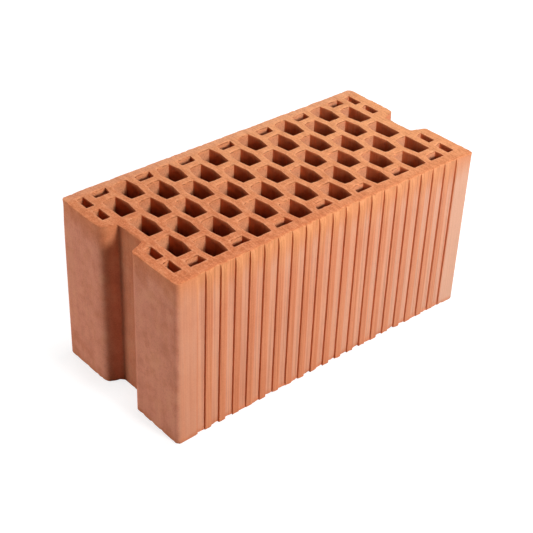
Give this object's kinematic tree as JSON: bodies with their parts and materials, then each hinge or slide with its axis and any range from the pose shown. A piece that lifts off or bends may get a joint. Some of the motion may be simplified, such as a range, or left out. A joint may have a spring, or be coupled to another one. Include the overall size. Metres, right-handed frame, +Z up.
{
  "type": "perforated clay block",
  "caption": "Vertically perforated fired clay building block with staggered hexagonal through holes, slotted ends with mortar pockets, and grooved long sides.",
  "frame": {"origin": "middle of the lower bed face", "axes": "+X along the length, from one mortar pocket to the other; +Y across the width; +Z up along the holes"},
  "size_m": [0.288, 0.138, 0.138],
  "materials": {
    "fired_clay": "matte, wire-cut"
  },
  "bodies": {
    "root": {"clay_block": "fired_clay"}
  },
  "joints": []
}
